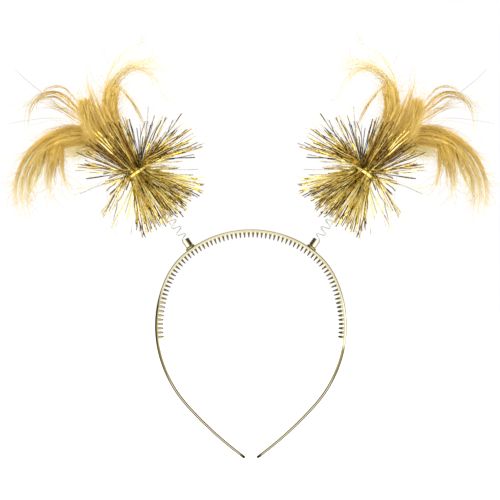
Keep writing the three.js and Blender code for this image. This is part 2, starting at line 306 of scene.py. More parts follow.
# bright pale gold plating over moulded plastic: soft waves from the mould, fine grain, warmer patches, and
# painted light from a value carried on the points: a dark olive painted shade where it reaches 1, a near
# black painted reflection where it passes 1, and a pale painted highlight where it is below 0
platingLook = {
    "pale": rgb(0.47, 0.428, 0.275), "warm": rgb(0.43, 0.372, 0.21), "dull": rgb(0.1, 0.072, 0.016),
    "bare": rgb(0.016, 0.012, 0.006), "paintedHighlight": rgb(0.78, 0.75, 0.6), "roughness": 0.22,
    "patchScale": 28, "patchSpan": (0.35, 0.7), "patchRough": 0.06, "grainScale": 1400, "grainRough": 0.08,
    "waveScale": 120, "waveStrength": 0.08, "waveDepth": 0.0004,
}


def platedGold(book):
    look = platingLook
    place = book.objectPlace()
    patches = book.spread(book.noise(look["patchScale"], 3, place), *look["patchSpan"])
    grain = book.noise(look["grainScale"], 2, place)
    waves = book.noise(look["waveScale"], 1, place)
    # dull carries painted light: painted shade up to 1, a painted black reflection at 2, a painted
    # highlight below 0
    dull = book.carried("dull")
    bright = book.mixed(patches, look["pale"], look["warm"])
    shaded = book.mixed(dull, bright, look["dull"])
    paintedHighlight = book.mixed(0 - dull, shaded, look["paintedHighlight"])
    return {
        "Base Color": book.mixed(dull - 1, paintedHighlight, look["bare"]),
        "Metallic": 1.0,
        "Roughness": look["roughness"] + grain * look["grainRough"] + patches * look["patchRough"],
        "Normal": book.bump(waves, look["waveStrength"], look["waveDepth"]),
    }


# bright steel wire with fine dull marks
wireLook = {
    "bright": rgb(0.58, 0.58, 0.57), "dull": rgb(0.4, 0.4, 0.39), "roughness": 0.4,
    "markScale": 900, "markSpan": (0.35, 0.7), "markRough": 0.12,
}


def springSteel(book):
    look = wireLook
    marks = book.spread(book.noise(look["markScale"], 3), *look["markSpan"])
    return {
        "Base Color": book.mixed(marks, look["bright"], look["dull"]),
        "Metallic": 1.0,
        "Roughness": look["roughness"] + marks * look["markRough"],
    }


# metallised film: its tone wanders along every strip and in fine flecks, from near black over rust and
# olive to bright pale gold, a painted reflection: the dark and pale tones stand for dark and bright
# surroundings mirrored in the film; toneStops are the tones at which the colours of filmTones are reached
filmLook = {
    "darkReflection": rgb(0.05, 0.045, 0.016), "rust": rgb(0.26, 0.11, 0.022), "olive": rgb(0.28, 0.2, 0.03),
    "orange": rgb(0.62, 0.4, 0.045), "yellow": rgb(0.9, 0.69, 0.13), "pale": rgb(0.98, 0.87, 0.4),
    "toneStops": (0.04, 0.13, 0.22, 0.36, 0.58, 0.88), "flecks": 1.2, "fleckScale": 560,
    "metallic": 0.8, "roughness": 0.22, "scuffScale": 900, "scuffRough": 0.15,
}
filmTones = ("darkReflection", "rust", "olive", "orange", "yellow", "pale")


def goldFilm(book):
    look = filmLook
    scuffs = book.noise(look["scuffScale"], 2)
    flecks = book.noise(look["fleckScale"], 1) - 0.5
    stops = [(place, look[tone]) for place, tone in zip(look["toneStops"], filmTones)]
    # tone is painted reflection: its dark and pale ends stand for dark and bright surroundings
    tone = book.carried("tone") + flecks * look["flecks"]
    toned = book.node("ShaderNodeValToRGB", {"stops": stops}, {0: tone})
    return {
        "Base Color": toned,
        "Metallic": look["metallic"],
        "Roughness": look["roughness"] + scuffs * look["scuffRough"],
    }


# barbs: orange gold at the root and straw gold along the body in their own dyed tones, each clump and each
# strand in its own tone, and pale at the tip, a painted glow of the light that shines through the thin
# tips; a bare shaft is grey
featherLook = {
    "root": rgb(0.74, 0.34, 0.045), "deep": rgb(0.64, 0.4, 0.06), "light": rgb(0.96, 0.75, 0.25),
    "tip": rgb(0.9, 0.79, 0.42), "shaft": rgb(0.13, 0.11, 0.1), "roughness": 0.55, "gloss": 0.25,
    "rootSpan": (0.05, 0.42), "tipSpan": (0.55, 1.1),
}


def strawFeather(book):
    look = featherLook
    along = book.carried("along")
    dyed = book.mixed(book.carried("tone"), look["deep"], look["light"])
    rooted = book.mixed(book.spread(along, *look["rootSpan"]), look["root"], dyed)
    # painted light: pale towards the tips, as if lit through
    paleTipped = book.mixed(book.spread(along, *look["tipSpan"]), rooted, look["tip"])
    return {
        "Base Color": book.mixed(book.carried("shaft"), paleTipped, look["shaft"]),
        "Roughness": look["roughness"],
        "Specular IOR Level": look["gloss"],
    }


materials = {
    "plating": newMaterial(platedGold), "spring_wire": newMaterial(springSteel),
    "film": newMaterial(goldFilm), "feather": newMaterial(strawFeather),
}
print("materials made:", ", ".join(materials))


# band: the outer edge of half of it as tangent arcs from the crown's top down to the toe. At the shares
# edgeAt of its length it has the radii of its round edges, how much painted shade lies on them (a painted
# highlight below 0) and how wide
bandSpec = {
    "radius": (66.6, 45.5, 73.2, 78.6, 235.5), "turn": (37.2, 27.8, 42.1, 24.6, 11.8),
    "thickness": 1.8, "crownWidth": 7.0, "toeWidth": 4.6, "stations": 520, "toeReach": 1.6,
    "toeStations": 8, "toeEnd": 0.03, "edgeSteps": 8, "shadeLineSpan": (0, 5, 80, 90),
    "edgeAt": (0, 0.2, 0.36, 0.42, 0.54, 0.56, 0.635, 0.68, 0.985, 1),
    "outerEdge": (0.6, 0.6, 0.65, 0.8, 0.8, 0.75, 0.7, 0.74, 0.74, 0.74),
    "innerEdge": (0.15, 0.15, 0.15, 0.15, 0.15, 0.25, 0.3, 0.7, 0.7, 0.7),
    "leftShading": (0.2, 0.5, 0.75, 2, 2, 1.2, 1.1, 1.8, 1.8, 2),
    "rightShading": (0.2, 0.8, 0.4, -0.7, -0.9, 0.9, 1, 1.7, 1.8, 2),
    "innerShading": (0, 0, 0, 0, 0, 0.8, 0.8, 1.45, 1.45, 2),
    "shadingWide": (0, 0, 0.1, 0.75, 0.75, 0.85, 0.85, -0.12, -0.12, 1),
}
combSpec = {
    "perSide": 37, "pitch": 2.86, "length": 3.6, "sunk": 0.5, "rootRun": 1.5, "tipRun": 0.6,
    "rootWidth": 4.2, "tipWidth": 1.6, "stations": 9, "edge": 0.22, "edgeSteps": 3,
    "bluntFrom": 0.85, "bluntRun": 0.151, "flare": 0.5, "flarePower": 5, "lowFrom": (26, 29),
    "stouter": 0.55, "stoutSpan": (0.05, 0.6), "paintedShading": 1.25, "shadingRun": 0.25, "bright": 0.69,
    "shadeDelay": 0.2,
}
edgeKeys = ("outerEdge", "innerEdge", "leftShading", "rightShading", "innerShading", "shadingWide")
crownTop = combSpec["length"] + bandSpec["thickness"]
arcRadius = np.array(bandSpec["radius"])
arcTurn = np.radians(bandSpec["turn"])
halfLength = float(np.sum(arcRadius * arcTurn))
toFront = np.array([0, -1, 0])


# outline at signed distances: heading = start of its arc + run / radius, place = sum of the arcs' chords
def outlineAt(distance):
    side = np.where(distance < 0, -1.0, 1.0)
    run = np.minimum(np.abs(distance), halfLength)
    runStart = runningSum(arcRadius * arcTurn)[:-1]
    headStart = runningSum(arcTurn)[:-1]
    headEnd = headStart + arcTurn
    xStart = runningSum(arcRadius * (np.sin(headEnd) - np.sin(headStart)))[:-1]
    dropStart = runningSum(arcRadius * (np.cos(headStart) - np.cos(headEnd)))[:-1]
    arc = np.clip(np.searchsorted(runStart, run, side="right") - 1, 0, len(arcRadius) - 1)
    heading = headStart[arc] + (run - runStart[arc]) / arcRadius[arc]
    across = xStart[arc] + arcRadius[arc] * (np.sin(heading) - np.sin(headStart[arc]))
    drop = dropStart[arc] + arcRadius[arc] * (np.cos(headStart[arc]) - np.cos(heading))
    zero = np.zeros_like(across)
    point = np.stack([side * across, zero, crownTop - drop], axis=-1)
    along = np.stack([np.cos(heading), zero, -side * np.sin(heading)], axis=-1)
    out = np.stack([side * np.sin(heading), zero, np.cos(heading)], axis=-1)
    return point, along, out


# hoop: the rounded section carried along the outline, its width easing down with the square of the
# distance, and its ends drawn in to a round toe. Painted shade lies in a line along the round edges, dark
# where they would mirror the dark sides, with a painted highlight where it is below 0: its amount = its
# share at that distance * a step up and, but for the wide share, a step down over the angle
def hoopSurface():
    spec = bandSpec
    swing = np.linspace(0, np.pi / 2, spec["toeStations"] + 1)[1:]
    distance = np.linspace(-halfLength, halfLength, spec["stations"])
    reach = spec["toeReach"] * np.sin(swing)
    run = np.concatenate([-halfLength - reach[::-1], distance, halfLength + reach])
    scale = np.concatenate([np.cos(swing)[::-1], np.ones_like(distance), np.cos(swing)])
    scale = np.maximum(scale, spec["toeEnd"])
    point, along, out = outlineAt(run)
    over = run - np.clip(run, -halfLength, halfLength)
    middle = point + over[:, None] * along - out * spec["thickness"] / 2
    share = np.minimum(np.abs(run) / halfLength, 1)
    width = spec["crownWidth"] + (spec["toeWidth"] - spec["crownWidth"]) * share ** 2
    rows = [np.interp(share, spec["edgeAt"], spec[key])[:, None] for key in edgeKeys]
    outerEdge, innerEdge, left, right, inner, wide = rows
    outer = np.where(run[:, None] < 0, left, right)
    edges = np.concatenate([outerEdge, innerEdge, innerEdge, outerEdge], axis=1)
    ringOut, ringFront = boxRing(scale * spec["thickness"] / 2, scale * width / 2, edges, spec["edgeSteps"])
    thick = ringOut[:, :, None] * out[:, None, :]
    front = ringFront[:, :, None] * toFront
    rise, riseEnd, fall, fallEnd = spec["shadeLineSpan"]
    angle = np.linspace(0, 90, spec["edgeSteps"])[None, :]
    line = smoothStep(rise, riseEnd, angle) * (1 - (1 - wide) * smoothStep(fall, fallEnd, angle))
    back = line[:, ::-1]
    # painted shade along the round edges where they would mirror the dark sides, painted highlight below 0
    paintedShading = np.concatenate([outer * line, inner * back, inner * line, outer * back], axis=1)
    return Surface((middle[:, None, :] + thick + front)[None], dull=paintedShading[None])


# teeth: half sizes = straight lines from root to tip * a flare at the root * a round end; the low ones are
# stouter. Each tooth carries painted shade from a little above its root, the low ones on the left less
# of it and those on the right from a little later
def teethSurface():
    spec = combSpec
    half = (np.arange(spec["perSide"]) + 0.5) * spec["pitch"]
    point, along, out = outlineAt(np.concatenate([-half[::-1], half]))
    share = np.linspace(0, 1, spec["stations"])
    depth = bandSpec["thickness"] - spec["sunk"] + share * (spec["length"] + spec["sunk"])
    middle = point[:, None, :] - depth[None, :, None] * out[:, None, :]
    blunt = np.sqrt(1 - np.maximum((share - spec["bluntFrom"]) / spec["bluntRun"], 0) ** 2)
    flare = 1 + spec["flare"] * (1 - share) ** spec["flarePower"]
    run = (spec["rootRun"] + (spec["tipRun"] - spec["rootRun"]) * share) * flare * blunt / 2
    width = (spec["rootWidth"] + (spec["tipWidth"] - spec["rootWidth"]) * share) * blunt / 2
    ringRun, ringFront = boxRing(run, width, np.full(4, spec["edge"]), spec["edgeSteps"])
    number = len(half) - 0.5 - np.arange(2 * len(half))
    low = smoothStep(*spec["lowFrom"], np.abs(number))[:, None, None]
    stout = 1 + spec["stouter"] * low * smoothStep(*spec["stoutSpan"], share)[None, :, None]
    # the low teeth on the left, which carry less painted shade
    bright = low * (number > 0)[:, None, None]
    late = spec["shadeDelay"] * (low - bright)
    ringRun = (ringRun[None] * stout)[..., None] * along[:, None, None, :]
    ringWidth = ringFront[None, :, :, None] * toFront
    # painted shade on the teeth, where the comb would lie in shade
    dull = spec["paintedShading"] * (1 - spec["bright"] * bright)
    dull = dull * smoothStep(0, spec["shadingRun"], share[None, :, None] - late)
    return Surface(middle[:, :, None, :] + ringRun + ringWidth, dull=dull)


makePiece("combBand", [hoopSurface(), teethSurface()], "band", "plating")


# bopper: its own frame stands on the band's outer face, x outwards, y to the back, z along the spring
bopperSpec = {"turn": 35, "burstHeight": 58.6}
bopperTurn = math.radians(bopperSpec["turn"])
bopperX = np.array([math.cos(bopperTurn), 0, -math.sin(bopperTurn)])
bopperY = np.array([0.0, 1.0, 0.0])
bopperZ = np.array([math.sin(bopperTurn), 0, math.cos(bopperTurn)])
bopperFoot = outlineAt(np.array([bopperTurn * arcRadius[0]]))[0][0]
burstMiddle = bopperFoot + bopperSpec["burstHeight"] * bopperZ
axisUp = np.array([0, 0, 1.0])
localDown = np.array([-bopperX[2], 0, -bopperZ[2]])  # the way down, in the bopper's frame


# out of the bopper's frame: foot + x * bopperX + y * bopperY + z * bopperZ
def standOn(foot, points):
    return foot + points[..., :1] * bopperX + points[..., 1:2] * bopperY + points[..., 2:3] * bopperZ


# the right piece and its mirror image
def bothSides(name, surfaces, node, slot, smooth=True):
    for side, mirrored in (("right", False), ("left", True)):
        pieceName, nodeName = name + "_" + side, node + "_" + side
        makePiece(pieceName, surfaces, nodeName, slot, mirrored, smooth)


# socket: a turned cup; the profile is a list of radius and height with a rounded foot, shoulder and rim.
# It stands a lift above the band. Above its foot it carries a painted highlight on the outer side and
# painted shade on the inner one, and a little painted shade on its foot
socketSpec = {
    "footRadius": 3.4, "foot": 1.0, "shoulder": 1.5, "radius": 2.7, "bore": 2.1, "floor": 1.6,
    "height": 6.6, "hub": 0.05, "lift": 0.06, "round": 0.25, "sides": 56, "arcSteps": 5,
    "inwardSpan": (-0.2, 0.3), "footShading": 0.45, "outerShading": -0.9, "innerShading": 0.75,
}


# rounded corner = (1 - s)^2 * start + 2 s (1 - s) * corner + s^2 * end, over shares s
def roundCorner(before, corner, after, radius, steps):
    start = corner + radius * unit(before - corner)
    end = corner + radius * unit(after - corner)
    share = np.linspace(0, 1, steps)[:, None]
    return (1 - share) ** 2 * start + 2 * share * (1 - share) * corner + share ** 2 * end


# socket: each radius and height of the profile, turned round the axis
def socketSurface():
    spec = socketSpec
    corners = np.array([
        (spec["hub"], 0), (spec["footRadius"], 0), (spec["footRadius"], spec["foot"]),
        (spec["radius"], spec["shoulder"]), (spec["radius"], spec["height"]),
        (spec["bore"], spec["height"]), (spec["bore"], spec["floor"]), (spec["hub"], spec["floor"]),
    ])
    rows = [corners[:1]]
    for before, corner, after in zip(corners, corners[1:], corners[2:]):
        rows.append(roundCorner(before, corner, after, spec["round"], spec["arcSteps"]))
    profile = np.concatenate(rows + [corners[-1:]])
    angle = 2 * np.pi * np.arange(spec["sides"]) / spec["sides"]
    radius, height = profile[:, :1], profile[:, 1:] + spec["lift"]
    ring = aroundAxis(radius, angle, height)
    inward = smoothStep(*spec["inwardSpan"], -np.cos(angle))
    # painted highlight on the outer side and painted shade on the inner side, by the angle round the socket
    paintedShading = spec["outerShading"] + (spec["innerShading"] - spec["outerShading"]) * inward
    above = smoothStep(spec["foot"], spec["shoulder"], height)
    paintedShading = spec["footShading"] + (paintedShading - spec["footShading"]) * above
    return Surface(standOn(bopperFoot, ring)[None], dull=paintedShading[None])


bothSides("springSocket", [socketSurface()], "socket", "plating")


# spring: a helix whose radius widens from its tail in the socket to the open coil
springSpec = {
    "wire": 0.25, "coilRadius": 2.7, "tailRadius": 1.5, "pitch": 5.4, "tailRise": 5.0, "tailTurns": 1.1,
    "flareRise": 2.4, "flareTurns": 0.5, "foot": 2.45, "top": 53.55, "stepsPerTurn": 40, "sides": 10,
}


# wire: points round the axis, with radius and height in straight lines over the turns
def springSurface():
    spec = springSpec
    coilRise = spec["top"] - spec["foot"] - spec["tailRise"] - spec["flareRise"]
    turnMarks = np.cumsum([0, spec["tailTurns"], spec["flareTurns"], coilRise / spec["pitch"]])
    riseMarks = np.cumsum([0, spec["tailRise"], spec["flareRise"], coilRise])
    radiusMarks = [spec["tailRadius"], spec["tailRadius"], spec["coilRadius"], spec["coilRadius"]]
    turns = np.linspace(0, turnMarks[-1], int(turnMarks[-1] * spec["stepsPerTurn"]))
    radius = np.interp(turns, turnMarks, radiusMarks)
    height = spec["foot"] + np.interp(turns, turnMarks, riseMarks)
    angle = -2 * np.pi * turns
    path = aroundAxis(radius, angle, height)
    radii = np.full((1, len(turns)), spec["wire"])
    rings = roundStrands(path[None], radii, spec["sides"], axisUp)
    return Surface(standOn(bopperFoot, rings))


bothSides("wireSpring", [springSurface()], "spring", "spring_wire")


# tinsel: sheaves of film strips in fans about the bopper's axis, as angle from the axis, sheaves, where
# round the axis they start and spread (0 outer, 90 back, 180 inner, 270 front), reach, root radius, the
# strips in a sheaf, fewer where it points outwards, and how far their tone is moved
fanRows = [
    (24, 3, 225, 90, 37, 6.2, 16, 16, -0.37),
    (30, 2, 60, 60, 34, 6.2, 9, 9, -0.28),
    (41, 3, -60, 120, 37, 7.0, 7, 7, -0.38),
    (56, 8, -22, 360, 38, 7.4, 7, 5, -0.4),
    (72, 7, 20, 360, 21, 7.5, 10, 5, -0.26),
    (80, 7, 0, 360, 41, 7.5, 11, 2, -0.38),
    (103, 5, 125, 120, 41, 7.5, 11, 3, -0.28),
    (113, 7, 0, 360, 22, 7.5, 9, 3, -0.14),
    (116, 3, -60, 120, 38, 7.5, 5, 5, 0),
    (136, 7, 45, 270, 40, 7.5, 13, 7, -0.01),
    (153, 7, 0, 360, 39, 7.0, 14, 11, -0.01),
    (167, 5, 20, 360, 36.5, 6.0, 15, 13, -0.03),
]
tinselSpec = {
    "parting": 118, "innerRoot": 4.6, "width": 0.66, "thickness": 0.06, "stations": 14, "polarJitter": 7.5,
    "turnJitter": 13.0, "bendShare": 0.2, "crinkle": 0.32, "kink": 0.24, "twist": 0.5, "reflectionWave": 0.3,
    "tipShade": 0.35, "tipsFrom": 0.7, "outerPale": 0.26, "paleFrom": 60, "outwardSpan": (-0.2, 0.7),
    "frontSpan": (0.5, 0.85), "frontPolar": (70, 120), "reachSpan": (0.84, 1.05), "toneShape": (0.65, 0.5),
    "kinkSpan": (0.35, 0.9), "kinkShare": 0.45, "kinkRun": 0.05, "bendFrom": 0.02, "bendLeast": 0.015,
    "bendLate": 1.35, "bendRoot": 8, "pace": (6, 18), "widthSpan": (0.8, 1.15), "tonePhase": 7,
    "tonePace": (4, 14), "seed": 12,
}


# for every strip: angles = its fan's and its sheaf's + chance, reach = its fan's * chance, tone = chance +
# its fan's + a paler share outwards; sheaves that point outwards or to the front have fewer strips
def stripRows(random):
    spec = tinselSpec
    rows = []
    for polar, count, start, spread, reach, root, strips, outerStrips, tone in fanRows:
        sheaf = np.radians(start + spread * (np.arange(count) + 0.5) / count)
        outwards = smoothStep(*spec["outwardSpan"], np.cos(sheaf))
        level = spec["frontPolar"][0] < polar < spec["frontPolar"][1]
        inFront = smoothStep(*spec["frontSpan"], -np.sin(sheaf)) * level
        fewer = np.maximum(outwards, inFront)
        strips = np.rint(strips + (outerStrips - strips) * fewer).astype(int)
        paled = spec["paleFrom"] < polar < spec["parting"]
        paler = np.repeat(outwards, strips) * spec["outerPale"] * paled
        sheaf = np.repeat(sheaf, strips)
        size = len(sheaf)
        polar = np.radians(polar + random.normal(0, spec["polarJitter"], size))
        turn = sheaf + np.radians(random.normal(0, spec["turnJitter"], size)) / np.sin(polar)
        reach = reach * random.uniform(*spec["reachSpan"], size)
        root = random.uniform(spec["innerRoot"], root, size)
        # tone paints how dark or bright a reflection each strip shows
        tone = random.beta(*spec["toneShape"], size) + tone + paler
        rows.append(np.stack([polar, turn, reach, root, tone]))
    return np.concatenate(rows, axis=1)


# a strip's way = along the axis at the waist, turning over to its own direction in the first part of
# its length, then straight but for a kink and a slight wave; the place is the running sum of the way
def tinselSurface():
    spec = tinselSpec
    random = np.random.default_rng(spec["seed"])
    polar, turn, reach, root, tone = stripRows(random)
    count = len(polar)
    share = np.linspace(0, 1, spec["stations"])[None, :, None]
    upward = np.where(np.degrees(polar) < spec["parting"], 1.0, -1.0)
    around = aroundAxis(1, turn, 0)
    axial = np.stack([0 * turn, 0 * turn, upward], axis=-1)
    final = around * np.sin(polar)[:, None] + axisUp * np.cos(polar)[:, None]
    kinkAt = random.uniform(*spec["kinkSpan"], count)[:, None, None]
    kinked = (random.random(count) < spec["kinkShare"])[:, None, None] * spec["kink"]
    astray = unit(np.cross(final, random.normal(size=(count, 3))))[:, None, :]
    bendEnd = spec["bendShare"] * (spec["bendLate"] - root / spec["bendRoot"])[:, None, None]
    bend = smoothStep(spec["bendFrom"], bendEnd + spec["bendLeast"], share)
    way = (1 - bend) * axial[:, None, :] + bend * final[:, None, :]
    way = unit(way + kinked * smoothStep(-spec["kinkRun"], spec["kinkRun"], share - kinkAt) * astray)
    step = reach[:, None, None] / (spec["stations"] - 1)
    middleWay = (way[:, 1:] + way[:, :-1]) / 2
    start = around * root[:, None]
    gone = np.cumsum(middleWay * step, axis=1)
    path = start[:, None, :] + np.concatenate([0 * start[:, None, :], gone], axis=1)
    phase = random.uniform(0, 2 * np.pi, (count, 1, 1))
    pace = random.uniform(*spec["pace"], (count, 1, 1))
    path = path + astray * spec["crinkle"] * np.sin(phase + pace * share) * share
    along = share[:, :, 0]
    roll = random.uniform(0, np.pi, (count, 1))
    roll = roll + random.normal(0, spec["twist"], (count, 1)) * along
    widths = spec["width"] * random.uniform(*spec["widthSpan"], (count, 1)) * np.ones_like(roll)
    reference = unit(np.cross(final, random.normal(size=(count, 3))))[:, None, :]
    rings = flatStrips(path, widths, spec["thickness"], roll, reference)
    tonePhase = random.uniform(0, spec["tonePhase"], (count, 1))
    # painted reflection: the tone waves along each strip, from bright to dark
    reflectionWave = np.sin(tonePhase + random.uniform(*spec["tonePace"], (count, 1)) * along)
    tone = tone[:, None] + spec["reflectionWave"] * reflectionWave
    # painted shade: the tips of the lower strips darkened, where they would mirror the dark below
    tone = tone - spec["tipShade"] * (upward < 0)[:, None] * smoothStep(spec["tipsFrom"], 1, along)
    return Surface(standOn(burstMiddle, rings), tone=np.clip(tone, 0, 1)[:, :, None])


bothSides("filmBurst", [tinselSurface()], "tinsel", "film", smooth=False)


# tie: a strip wound round the waist, a little askew, so that its turns cross; startAt and lag are radians
tieSpec = {
    "radius": 8.7, "width": 1.25, "thickness": 0.2, "turns": 2.2, "askew": 0.28, "grow": 0.2,
    "stations": 150, "startAt": 1.2, "lag": 0.6, "settle": 2.1, "tone": 0.66,
}


# path: points round the axis, height = askew * sin(a + lag) * cos(settle * share), the radius growing
def tieSurface():
    spec = tieSpec
    share = np.linspace(0, 1, spec["stations"])
    angle = 2 * np.pi * spec["turns"] * share + spec["startAt"]
    radius = spec["radius"] + spec["grow"] * share * spec["turns"]
    height = spec["askew"] * np.sin(angle + spec["lag"]) * np.cos(spec["settle"] * share)
    path = aroundAxis(radius, angle, height)[None]
    widths = np.full((1, spec["stations"]), spec["width"])
    roll = np.full((1, spec["stations"]), np.pi / 2)
    rings = flatStrips(path, widths, spec["thickness"], roll, axisUp)
    return Surface(standOn(burstMiddle, rings), tone=spec["tone"])


bothSides("waistTie", [tieSurface()], "tie", "film", smooth=False)


# plumes: a lock's course is where it leaves the main lock, its length, heading, straight share, curl and
# ease. The main lock starts beside the axis on top of the core, and its heading is its angle from the axis,
# outwards positive; a branch is turned by its heading. A lock runs straight for its share, then curls, and
# is widest at fullAt. Its strands end between the first two shares of ends; pale moves its colour towards
# root or tip. What a row leaves out has the value in lockSpec, and for hairs first in hairSpec
courseKeys = ("leaves", "length", "heading", "straight", "curl", "ease")
lockSpec = {
    "fullAt": 0.3, "rise": 0, "front": 0, "beginBy": 0.6, "ragged": 0.06, "pinch": 0.6, "wave": 0.5,
    "strayShare": 0.1, "thick": 1, "blunt": 0, "tone": 0, "fade": 1, "pale": 0, "shaft": 0, "fuzz": 0,
}
hairSpec = {
    "widths": (0.3, 0.3, 0.3), "strands": 1, "clumps": 1, "ends": (1, 1, 1), "fray": 0,
    "beginBy": 0, "ragged": 0, "strayShare": 0, "thick": 1.3, "blunt": 0.5,
}
wispSpec = {
    "widths": (3, 2.6, 1.8), "ends": (0.65, 1.03, 0.7), "fray": 1.3, "pale": -0.2, "tone": -0.34,
    "thick": 1.5, "wave": 1.0, "shaft": 0.25,
}


# a lock's values by name: its course, then what differs from lockSpec
def lockOf(*course, **more):
    return {**dict(zip(courseKeys, course)), **more}


plumeLocks = {
    "outer_plume": {"name": "archingFeather", "seed": 4, "offset": 0, "lean": 5, "flat": 0.5, "locks": [
        lockOf(0, 106, 14.5, 0.18, 138.5, 0.92, widths=(2.6, 14, 9), fullAt=0.4, strands=960, clumps=66,
               ends=(0.52, 1.02, 0.75), fray=2.5, pinch=0.8, tone=-0.1, fuzz=300),
        lockOf(54, 38, 54.8, 0.56, 30.6, 1.26, rise=6, front=4.5, widths=(9, 11.5, 7), tone=-0.3,
               strands=300, clumps=34, ends=(0.55, 1.08, 1.6), fray=1.2, fuzz=30),
        lockOf(53, 31.8, 65.9, 0.06, 33, 1.44, rise=5, front=4, widths=(6, 6, 3), tone=-0.25, strands=130,
               clumps=18, ends=(0.5, 1.08, 1.3), fray=1.2, fuzz=20),
        lockOf(64, 35.3, 35.3, 0.36, 11.1, 1.67, widths=(5, 8, 5), fullAt=0.4, strands=110, clumps=22,
               ends=(0.5, 1.05, 1), fray=1.2, pale=0.25, fuzz=15),
        lockOf(22, 29.5, 47.4, 0, 2, 1, widths=(4, 9, 6), fullAt=0.5, strands=270, clumps=40,
               ends=(0.7, 1.1, 1), fray=0.8, pale=0.16, tone=0.4, fuzz=15),
    ], "hairs": [
        lockOf(52, 59.6, 56, 0, -27.5, 1.1),
        lockOf(60, 37.6, -32.1, 0.12, 67.8, 0.5),
        lockOf(20, 57.8, 109.9, 0.09, 37.7, 0.5, pale=-0.6),
        lockOf(24, 41.6, 76.2, 0.12, 55, 0.5, thick=0.6),
    ]},
    "middle_plume": {"name": "bluntFeather", "seed": 6, "offset": 3.7, "lean": -13, "flat": 0.6, "locks": [
        lockOf(0, 56.8, 12.7, 0.23, -46.5, 1.04, widths=(2.6, 11, 8.5), fullAt=0.6, strands=620, clumps=70,
               ends=(0.86, 0.96, 1), ragged=0.02, fray=0.5, pinch=0.2, fade=0.62, blunt=1.0, tone=0.06,
               fuzz=190),
        lockOf(2, 62.1, -22.9, 0.6, -23, 1.73, widths=(3, 11, 2), fullAt=0.42, strands=340, clumps=40,
               ends=(0.68, 1.03, 3), fray=0.8, pale=-0.3, fuzz=20),
        lockOf(39, 58, 23, 0.36, 144, 0.78, **{**wispSpec, "widths": (4, 3.4, 1.8)}, strands=28, clumps=9,
               fuzz=10),
        lockOf(44, 45.6, 22, 0.41, 120, 0.62, **wispSpec, strands=8, clumps=4, fuzz=3),
        lockOf(36, 50.2, 25.5, 0.53, 84.4, 0.53, **wispSpec, strands=14, clumps=5, fuzz=5),
        lockOf(35, 41.3, 32.2, 0.57, 86, 2.03, **wispSpec, strands=9, clumps=4, fuzz=3),
        lockOf(34, 39.9, 32.3, 0.4, 40.1, 1.45, **wispSpec, strands=9, clumps=4, fuzz=3),
    ], "hairs": [
        lockOf(40, 55.9, 43.1, 0.25, -19.9, 0.81, shaft=1.0, thick=2.0, wave=0.1),
        lockOf(34, 53.7, 32.5, 0.09, 47.2, 0.5, shaft=0.7),
        lockOf(34, 41, 35, 0.09, 40, 0.5, shaft=0.3),
        lockOf(38, 24.7, 18.9, 0.4, -120, 1.93, pale=-0.2),
        lockOf(38, 26, 23, 0.35, -105, 1.8, pale=-0.2),
    ]},
    "inner_plume": {"name": "curledFeather", "seed": 4, "offset": -3.7, "lean": 3, "flat": 0.62, "locks": [
        lockOf(0, 87.6, -0.6, 0.14, -146.7, 1.65, widths=(2.6, 7, 4.5), fullAt=0.4, strands=180, clumps=20,
               ends=(0.66, 1.06, 0.8), fray=2.2, pinch=0.85, pale=0.12, thick=1.25, shaft=0.07, fuzz=110),
        lockOf(0, 54.3, 0, 0.226, -56, 1.65, widths=(2.6, 11, 9.5), fullAt=0.72, strands=560, clumps=60,
               ends=(0.9, 1.03, 1), ragged=0.03, fray=0.6, pinch=0.2, fade=0.62, blunt=1.0, tone=0.2,
               fuzz=190),
        lockOf(50, 42.5, 33.4, 0.1, -86.5, 0.5, widths=(4, 3.6, 1.6), strands=16, clumps=8,
               ends=(0.6, 1.05, 1), fray=1.2, pale=0.3, fuzz=6),
        lockOf(66, 35.9, -14.8, 0.11, -107.9, 0.61, widths=(4, 4, 1.6), strands=18, clumps=10,
               ends=(0.6, 1.05, 1), fray=1.8, pale=0.1, fuzz=6),
        lockOf(56, 42, -100, 0.05, -42, 0.8, widths=(3.6, 4, 2), strands=20, clumps=9, ends=(0.5, 1.08, 1),
               fray=1.6, pale=-0.15, tone=-0.2, thick=1.4, shaft=0.22, fuzz=4),
    ], "hairs": [
        lockOf(50, 15.2, -8.1, 0.12, -40.3, 0.5, shaft=0.8),
        lockOf(50, 12.2, -59, 0.35, 119.9, 0.5, shaft=0.8),
    ]},
}
barbSpec = {
    "radius": 0.09, "stations": 16, "sides": 3, "slices": 120, "overrun": 1.12, "coreTop": 4.8,
    "clumpReach": 0.9, "clumpSize": 0.17, "stray": 3.0, "droop": 1.5, "bareFrom": (0.3, 0.55),
    "toneShape": (1.5, 1.5), "toneSpread": 0.15, "beginPower": 1.5, "endLeast": 0.3, "shortest": 0.25,
    "gatherFrom": 0.3, "frayPower": 2.5, "clumpPace": 9, "crimp": 0.5, "crimpPace": (6, 16),
    "frontBy": 0.5, "radiusSpan": (0.6, 1.4), "tipRadius": 0.08, "branchAlong": (0.4, 0.6),
}
fuzzSpec = {
    "radius": 0.1, "stations": 8, "length": (4, 13), "turn": 30, "bend": 60, "tilt": 0.6,
    "placeSpan": (0.25, 0.98), "rim": 0.9, "tipRadius": 0.1, "along": (0.4, 0.25),
}


# depth of a plume for each length along it = tan lean
def leanSlope(plume):
    return math.tan(math.radians(plume["lean"]))


